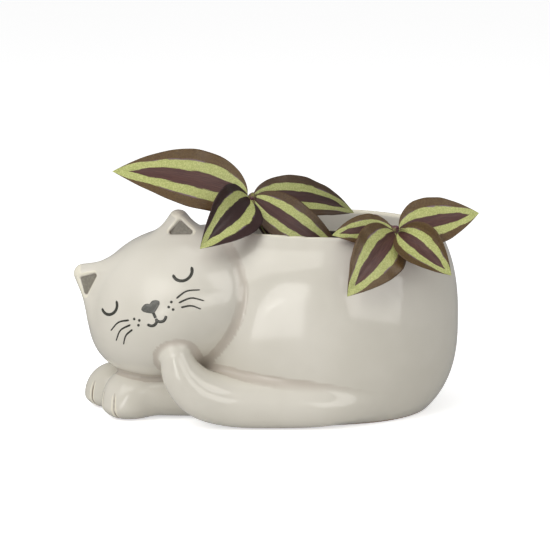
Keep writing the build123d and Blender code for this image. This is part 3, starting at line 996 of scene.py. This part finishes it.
def paint_nose():
    """A nose with two round lobes above and a blunt point below."""
    sections = []
    for share in np.linspace(-1, 1, 25):
        size = abs(share)
        top = nose_top(size)
        fall = 0.9 * size if size < 1 else 0
        bottom = min(NOSE_BOTTOM * (1 - size) ** 0.8 - fall - 0.2, top - 0.05)
        heights = bottom + (top - bottom) * np.linspace(0, 1, 9)
        sections.append([(NOSE_HALF_WIDTH * share, height) for height in heights])
    piece = joined("painted_nose", [ribbon(sections)])
    give(piece, nose_paint, "planter", "face_paint", "nose")


def paint_mouth():
    """A short line under the nose that parts into two curls."""
    x, y = MOUTH_ARC
    upright = bowed([(0, NOSE_BOTTOM + 0.3), (0, -6.2), (0, y + 0.3)])
    strips = [stroke(upright, np.full(len(upright), MOUTH_LINE))]
    for side, start in ((-1, 195), (1, 180)):
        line = arc((side * x, y), MOUTH_RADIUS, start, 165)
        strips.append(stroke(line, round_ends(len(line), MOUTH_LINE, 0.1)))
    piece = joined("painted_mouth", strips)
    give(piece, line_paint, "planter", "face_paint", "mouth_line")


EAR_RAYS = 60
EAR_RINGS = 12
EAR_PAINT_GAP = 0.15
EAR_PAINT_RISE = 0.1
EAR_START = 9.0


def inner_ear_outline(side):
    """The scoop's middle, and places round its rim."""
    corners = [(side * x, y) for x, y in SCOOP_CORNERS]
    middle = np.mean(corners, axis=0)
    reach = np.linspace(0, 14, 600)
    outline = []
    for turn in np.linspace(0, 2 * math.pi, EAR_RAYS, endpoint=False):
        ray = np.array([math.cos(turn), math.sin(turn)])
        spots = middle + reach[:, None] * ray
        gap = corner_field(spots[:, 0], spots[:, 1], corners) - SCOOP_ROUND
        outline.append(middle + ray * reach[np.argmax(gap > -EAR_PAINT_GAP)])
    return middle, np.array(outline)


def paint_inner_ear(side, word):
    """The dark inner ear, which fills the scoop up to its rim."""
    middle, outline = inner_ear_outline(side)
    rings = [middle + (outline - middle) * share for share in np.linspace(1, 0.08, EAR_RINGS)]
    flat = np.concatenate(rings + [middle[None]])
    skin, normals = on_skin(flat, *ear_frame(side), EAR_START)
    rise = np.full(len(flat), EAR_PAINT_RISE)
    rise[:EAR_RAYS] = PAINT_EDGE
    points = np.concatenate([skin + normals * rise[:, None], skin - normals * PAINT_SINK])
    count = len(flat)
    last = (EAR_RINGS - 1) * EAR_RAYS
    faces = []
    for k in range(EAR_RAYS):
        following = (k + 1) % EAR_RAYS
        for ring in range(0, last, EAR_RAYS):
            a, b = ring + k, ring + following
            c, d = b + EAR_RAYS, a + EAR_RAYS
            faces += [(a, b, c, d), (a + count, d + count, c + count, b + count)]
        a, b = last + k, last + following
        faces += [(a, b, count - 1), (a + count, 2 * count - 1, b + count)]
        faces.append((k, k + count, following + count, following))
    piece = joined(f"{word}_inner_ear_paint", [(points, faces)])
    give(piece, ear_paint, "planter", "ear_paint", f"{word}_ear_patch")


for side, word in ((-1, "left"), (1, "right")):
    paint_eye(side, word)
    paint_whiskers(side, word)
    paint_dots(side, word)
    paint_inner_ear(side, word)
paint_nose()
paint_mouth()


# The plant

MOUTH_HALVES = (50.08, 42.13)
LEAF_LENGTH = 60.0


def in_mouth(across, back, height):
    """A place over the mouth, given in shares of its half length and half depth."""
    return np.array([across * MOUTH_HALVES[0], back * MOUTH_HALVES[1], height])


LEFT_NODE = in_mouth(-0.82, -0.573, RIM_HEIGHT + 0.29 * LEAF_LENGTH)
RIGHT_NODE = in_mouth(0.623, -0.883, RIM_HEIGHT + 0.04 * LEAF_LENGTH)
LEAF_START = 1.6
LEAF_THICK = 0.5
RIB_DEPTH = 0.45
PLEAT_HEIGHT = 0.09
WAVE_HEIGHT = 0.028
BASE_POWER = 0.55
TIP_POWER = 1.0

# CAD node, place on the plant, azimuth, rise and twist, then length, width, arch, bend and cup
LEAVES = (
    ("left_long_leaf", LEFT_NODE, -175, 11, -66, 1.15, 0.44, 0.05, 0.04, 0.11),
    ("left_front_leaf", LEFT_NODE, -130, -29, -61, 0.71, 0.64, 0.14, 0.03, 0.35),
    ("left_back_leaf", LEFT_NODE, 40, -13, 58, 1.17, 0.32, 0.085, -0.014, 0.16),
    ("left_middle_leaf", LEFT_NODE, 3, -34, 64, 0.93, 0.42, 0.06, 0.022, 0.15),
    ("left_inner_leaf", LEFT_NODE, -4, -62, 50, 0.48, 0.28, 0.014, 0.069, 0.3),
    ("left_sprout", LEFT_NODE, -82, -62, 20, 0.11, 0.6, 0.1, 0, 0.1),
    ("right_outer_leaf", RIGHT_NODE, 4, 11, 60, 0.68, 0.63, 0.053, 0.007, 0.13),
    ("right_front_leaf", RIGHT_NODE, -27, -34, 55, 0.58, 0.62, 0.115, -0.004, 0.5),
    ("right_hanging_leaf", RIGHT_NODE, -131, -36, -60, 0.76, 0.63, 0.106, 0.033, 0.11),
    ("right_rim_leaf", RIGHT_NODE, -156, 0, -57, 0.56, 0.51, 0.027, 0.036, -0.02),
    ("right_sprout", RIGHT_NODE, -55, 12, 15, 0.1, 0.45, 0.05, 0, 0.12),
)


# How far a leaf's dark bands go to maroon
DEEP_LEAVES = {
    "left_front_leaf": 1.0, "left_back_leaf": 0.45, "left_middle_leaf": 0.35, "left_inner_leaf": 0.35,
}


def blade_axes(azimuth, rise, twist):
    """A leaf's own directions: along it, out of its face and across it."""
    azimuth, rise, twist = (math.radians(angle) for angle in (azimuth, rise, twist))
    flat = math.cos(rise)
    chord = np.array([math.cos(azimuth) * flat, math.sin(azimuth) * flat, math.sin(rise)])
    level = unit(np.array([0, 0, 1.0]) - chord[2] * chord)
    face = level * math.cos(twist) + np.cross(chord, level) * math.sin(twist)
    return chord, face, np.cross(chord, face)


def blade_half_width(along, full_width):
    """Half a leaf's width at a share of its length: full near the stalk, pointed at the tip."""
    widest = BASE_POWER / (BASE_POWER + TIP_POWER)
    most = widest**BASE_POWER * (1 - widest) ** TIP_POWER
    return full_width / 2 * along**BASE_POWER * (1 - along) ** TIP_POWER / most


def blade_lift(number, along, over, half, scale, cup):
    """How far a leaf's sheet stands off its plane: cupped, with a midrib, pleats and a wavy edge."""
    lift = cup * half * over**2
    lift -= RIB_DEPTH * scale * np.exp(-(over * half) ** 2) * np.clip(6 * (1 - along), 0, 1)
    lift += PLEAT_HEIGHT * scale * np.cos(over * math.pi * 9) * np.clip(half / 4, 0, 1)
    turn = 2 * math.pi
    wave = np.sin(turn * (2.6 * along + 0.37 * number))
    wave += 0.6 * np.sin(turn * (5.3 * along + 0.61 * number))
    return lift + WAVE_HEIGHT * half * wave * over**2 * np.where(over > 0, 1, -1)


def leaf(number, name, start, azimuth, rise, twist, length, width, arch, bend, cup):
    """A pointed leaf that grows from a place on the plant."""
    chord, face, side = blade_axes(azimuth, rise, twist)
    length = length * LEAF_LENGTH
    rows, columns = (70, 33) if length > 20 else (24, 13)
    share = np.linspace(0, 1, rows) ** 1.15
    along, over = np.meshgrid(share, np.linspace(-1, 1, columns), indexing="ij")
    scale = min(1.0, length / 40)
    half = blade_half_width(along, width * length)
    lift = blade_lift(number, along, over, half, scale, cup)
    bow = (4 * along * (1 - along) * length)[..., None]
    middle = start + chord * LEAF_START + chord * (along * length)[..., None]
    middle = middle + face * (arch * bow) + side * (bend * bow)
    sheet = middle + side * (half * over)[..., None] + face * lift[..., None]
    thick = LEAF_THICK * scale * (0.35 + 0.65 * (1 - over**2)) * np.clip(8 * (1 - along), 0.15, 1)
    offset = face * (thick / 2)[..., None]
    points = np.concatenate([(sheet + offset).reshape(-1, 3), (sheet - offset).reshape(-1, 3)])
    piece = mesh_object(f"{name}_blade", points, sheet_faces(rows, columns))
    count = rows * columns
    marks = {
        "across": np.tile(over.ravel(), 2),
        "along": np.tile(along.ravel(), 2),
        "under": np.repeat([0.0, 1.0], count),
        "shade": np.full(2 * count, 3.7 * number),
        "deep": np.full(2 * count, DEEP_LEAVES.get(name, 0.0)),
    }
    for mark_name, values in marks.items():
        float_attribute(piece.data, mark_name, values)
    with edited(piece.data) as work:
        bmesh.ops.remove_doubles(work, verts=work.verts, dist=0.004 * MM)
        bmesh.ops.recalc_face_normals(work, faces=work.faces)
    give(piece, zebra_leaf, "potted_plant", "leaf", name)


for number, row in enumerate(LEAVES):
    leaf(number, *row)


def tube(route, radii, sides=20):
    """A round closed tube along a route."""
    heading = unit(np.gradient(route, axis=0))
    side = unit(np.cross(heading[0], (0.3, 1, 0.2)))
    rings = []
    for place, turn, radius in zip(route, heading, radii):
        side = unit(side - turn * (side @ turn))
        other = np.cross(turn, side)
        angle = np.linspace(0, 2 * math.pi, sides, endpoint=False)
        rings.append(place + radius * (np.outer(np.cos(angle), side) + np.outer(np.sin(angle), other)))
    points = np.concatenate(rings + [route[:1], route[-1:]])
    faces = []
    for ring in range(len(route) - 1):
        for k in range(sides):
            a, b = ring * sides + k, ring * sides + (k + 1) % sides
            faces.append((a, b, b + sides, a + sides))
    last = (len(route) - 1) * sides
    for k in range(sides):
        faces.append(((k + 1) % sides, k, len(points) - 2))
        faces.append((last + k, last + (k + 1) % sides, len(points) - 1))
    return points, faces


SOIL_LEVEL = 77.5
STEM_RADIUS = 1.3
STEM_ROOT = 12.0


def stem(name, root, end, crest_height):
    """A shoot from the soil to its leaf node, swollen at its end."""
    crest = (root + end) / 2
    crest[2] = crest_height
    heading = unit(end - crest)
    buried = root - (0, 0, STEM_ROOT)
    above = root + (0, 0, 9)
    route = smooth_route([buried, root, above, crest, end - heading * 5, end + heading * 0.6], 10)
    reach = np.linalg.norm(route - end, axis=1)
    swelling = 1.15 * np.exp(-(reach / 2.2) ** 2)
    radii = STEM_RADIUS * (0.92 + 0.08 * np.sin(np.arange(len(route)) * 0.9)) + swelling
    radii[-1] *= 0.55
    points, faces = tube(route, radii)
    piece = joined(f"{name}_shoot", [(points, faces)])
    give(piece, fleshy_stem, "potted_plant", "stem", name)


stem("left_stem", in_mouth(-0.1, 0.05, SOIL_LEVEL), LEFT_NODE, RIM_HEIGHT - 3)
stem("right_stem", in_mouth(0.18, -0.08, SOIL_LEVEL), RIGHT_NODE, RIM_HEIGHT + 6)


# The pot keeps its CAD form, and the soil too, under a layer of crumbs

CRUMB_RADIUS = 0.75
CRUMB_DENSITY = 0.42


def finish_pot():
    """Plastic on the grow pot and peat on the soil."""
    for name, material in (("grow_pot", pot_plastic), ("potting_soil", peat)):
        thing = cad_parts[name]
        thing.data.materials.clear()
        thing.data.materials.append(material)


def crumb_layout():
    """Node group that strews crumbs of several sizes over a sheet."""
    group = bpy.data.node_groups.new("strewn_crumbs", "GeometryNodeTree")
    group.interface.new_socket("Geometry", in_out="INPUT", socket_type="NodeSocketGeometry")
    group.interface.new_socket("Density", in_out="INPUT", socket_type="NodeSocketFloat")
    group.interface.new_socket("Geometry", in_out="OUTPUT", socket_type="NodeSocketGeometry")
    start = group.nodes.new("NodeGroupInput")
    end = group.nodes.new("NodeGroupOutput")
    spread = node(group, "GeometryNodeDistributePointsOnFaces", {
        "Mesh": start.outputs[0], "Density": start.outputs[1], "Seed": 4,
    })
    crumb = node(group, "GeometryNodeMeshIcoSphere", {"Radius": CRUMB_RADIUS * MM, "Subdivisions": 2})
    full_turn = {"Max": (6.28, 6.28, 6.28), "Seed": 1}
    turn = node(group, "FunctionNodeRandomValue", full_turn, data_type="FLOAT_VECTOR")
    sizes = {"Min": (0.35, 0.35, 0.3), "Max": (1.7, 1.5, 1.0), "Seed": 2}
    size = node(group, "FunctionNodeRandomValue", sizes, data_type="FLOAT_VECTOR")
    placed = node(group, "GeometryNodeInstanceOnPoints", {
        "Points": spread.outputs[0], "Instance": crumb.outputs[0],
        "Rotation": turn.outputs[0], "Scale": size.outputs[0],
    })
    real = node(group, "GeometryNodeRealizeInstances", {0: placed.outputs[0]})
    coated = node(group, "GeometryNodeSetMaterial", {"Geometry": real.outputs[0], "Material": peat})
    group.links.new(coated.outputs[0], end.inputs[0])
    return group


def soil_crumbs():
    """Loose peat over the top of the soil."""
    top = bmesh.new()
    top.from_mesh(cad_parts["potting_soil"].data)
    bmesh.ops.delete(top, geom=[face for face in top.faces if face.normal.z < 0.6], context="FACES")
    sheet = bpy.data.meshes.new("soil_top")
    top.to_mesh(sheet)
    top.free()
    piece = new_object("soil_crumbs", sheet)
    strewing = piece.modifiers.new("strew", "NODES")
    strewing.node_group = crumb_layout()
    sockets = strewing.node_group.interface.items_tree
    density = next(item for item in sockets if item.name == "Density")
    strewing[density.identifier] = CRUMB_DENSITY / MM**2
    graph = bpy.context.evaluated_depsgraph_get()
    mesh = bpy.data.meshes.new_from_object(piece.evaluated_get(graph))
    piece.modifiers.clear()
    piece.data = mesh
    give(piece, peat, "potted_plant", "soil")


finish_pot()
soil_crumbs()


# Stage: floor, surroundings, lights, and the studio panels that the glaze mirrors

AMBIENT = 0.4
GLOSS_SURROUND = 0.3
PANEL_DISTANCE = 1300.0
PANEL_MIDDLE = np.array([-10.0, -20.0, 60.0])


def either_shader(tree, share, first, second):
    """One of two shaders, by a share of 0 or 1."""
    return node(tree, "ShaderNodeMixShader", {0: share, 1: first, 2: second}).outputs[0]


def floor_material():
    """Paper that shows white to the camera, keeps the shadow and hides no panel from the glaze."""
    material, tree, shader = new_material("white_paper")
    shader.inputs["Base Color"].default_value = (0.86, 0.86, 0.86, 1)
    shader.inputs["Roughness"].default_value = 0.9
    path = node(tree, "ShaderNodeLightPath")
    glow = node(tree, "ShaderNodeEmission", {"Color": (1, 1, 1, 1), "Strength": 0.62})
    both = node(tree, "ShaderNodeAddShader", {0: shader.outputs[0], 1: glow.outputs[0]}).outputs[0]
    clear = node(tree, "ShaderNodeBsdfTransparent").outputs[0]
    seen = either_shader(tree, path.outputs["Is Camera Ray"], shader.outputs[0], both)
    shown = either_shader(tree, path.outputs["Is Glossy Ray"], seen, clear)
    tree.links.new(shown, tree.nodes["Material Output"].inputs["Surface"])
    return material


def make_floor():
    """A wide level floor."""
    reach = 3000.0
    points = [(-reach, -reach, 0), (reach, -reach, 0), (reach, reach, 0), (-reach, reach, 0)]
    floor = mesh_object("paper_floor", points, [(0, 1, 2, 3)])
    floor.data.materials.append(floor_material())


def make_world():
    """Even white surroundings, dimmer where the glaze mirrors them."""
    world = bpy.data.worlds.new("white_room")
    bpy.context.scene.world = world
    world.use_nodes = True
    tree = world.node_tree
    ground = tree.nodes["Background"]
    path = node(tree, "ShaderNodeLightPath")
    seen = times(tree, path.outputs["Is Camera Ray"], 1 - AMBIENT)
    gloss = times(tree, path.outputs["Is Glossy Ray"], GLOSS_SURROUND - AMBIENT)
    ground.inputs["Color"].default_value = (1, 1, 1, 1)
    strength = plus(tree, plus(tree, AMBIENT, seen), gloss)
    tree.links.new(strength, ground.inputs["Strength"])


def bearing(azimuth, elevation):
    """A direction, with azimuth 0 towards the camera and negative to its left."""
    azimuth, elevation = np.radians(azimuth), np.radians(elevation)
    flat = np.cos(elevation)
    return np.stack([np.sin(azimuth) * flat, -np.cos(azimuth) * flat, np.sin(elevation)], -1)


def panel_material(name, strength, fade, streak):
    """A lit cloth, soft at its border, with the lamp behind it showing as a brighter streak."""
    material, tree, shader = new_material(name)
    tree.nodes.remove(shader)
    across = mark(tree, "panel_across")
    up = mark(tree, "panel_up")
    side = ramp(tree, math_node(tree, "ABSOLUTE", across), 1.0, 1.0 - fade)
    top = ramp(tree, math_node(tree, "ABSOLUTE", up), 1.0, 1.0 - fade)
    slant = minus(tree, up, times(tree, across, 0.6))
    lamp = ramp(tree, math_node(tree, "ABSOLUTE", slant), 0.3, 0.0)
    reach = ramp(tree, math_node(tree, "ABSOLUTE", across), 0.5, 0.05)
    lamp = times(tree, times(tree, lamp, reach), streak)
    power = times(tree, times(tree, side, top), strength)
    power = times(tree, power, plus(tree, lamp, 1.0))
    glow = node(tree, "ShaderNodeEmission", {"Color": (1, 0.985, 0.96, 1), "Strength": power})
    tree.links.new(glow.outputs[0], tree.nodes["Material Output"].inputs["Surface"])
    return material


def mirror_panel(name, corners, strength, fade=0.08, streak=0.0):
    """A panel that shows in the glaze alone: a patch of a wide sphere between four bearings."""
    columns, rows = 25, 17
    across, up = np.meshgrid(np.linspace(-1, 1, columns), np.linspace(-1, 1, rows))
    lower_left, lower_right, upper_right, upper_left = np.array(corners, float)
    right = ((across + 1) / 2)[..., None]
    top = ((up + 1) / 2)[..., None]
    lower = lower_left + (lower_right - lower_left) * right
    upper = upper_left + (upper_right - upper_left) * right
    place = lower + (upper - lower) * top
    points = PANEL_MIDDLE + PANEL_DISTANCE * bearing(place[..., 0], place[..., 1])
    faces = [face[::-1] for face in grid_faces(rows, columns)]
    panel = mesh_object(name, points.reshape(-1, 3), faces)
    float_attribute(panel.data, "panel_across", across.ravel())
    float_attribute(panel.data, "panel_up", up.ravel())
    panel.data.materials.append(panel_material(name + "_cloth", strength, fade, streak))
    for ray in ("camera", "diffuse", "shadow", "transmission", "volume_scatter"):
        setattr(panel, f"visible_{ray}", False)


def softbox(name, azimuth, elevation, distance, size, power):
    """A square studio light that looks at the cat and doesn't show in its glaze."""
    data = bpy.data.lights.new(name, "AREA")
    data.shape = "SQUARE"
    data.size = size
    data.energy = power
    light = bpy.data.objects.new(name, data)
    place = Vector(PANEL_MIDDLE * MM) + Vector(bearing(azimuth, elevation)) * distance
    light.location = place
    light.rotation_euler = (Vector(PANEL_MIDDLE * MM) - place).to_track_quat("-Z", "Y").to_euler()
    light.visible_glossy = False
    bpy.context.scene.collection.objects.link(light)


make_floor()
make_world()
softbox("key_light", -42, 38, 1.3, 0.7, 8)
softbox("fill_light", 40, 14, 1.3, 0.7, 1.2)
softbox("top_light", -30, 80, 1.2, 0.8, 3)
mirror_panel("left_panel", ((-35, -14), (-13, -13), (-12, 13), (-17, 15)), 3.6, streak=0.9)
mirror_panel("right_panel", ((14, -6), (56, -10), (63, 13), (4, 20)), 2.6)
mirror_panel("side_panel", ((36, 22), (60, -2), (66, 48), (24, 50)), 2.6)
mirror_panel("upper_panel", ((-42, 10), (-6, 27), (-5, 40), (-52, 46)), 2.2, fade=0.12, streak=0.4)
mirror_panel("overhead_panel", ((-180, 78), (180, 78), (180, 90), (-180, 90)), 1.2, fade=0.3)

bpy.context.scene.view_settings.view_transform = "Standard"
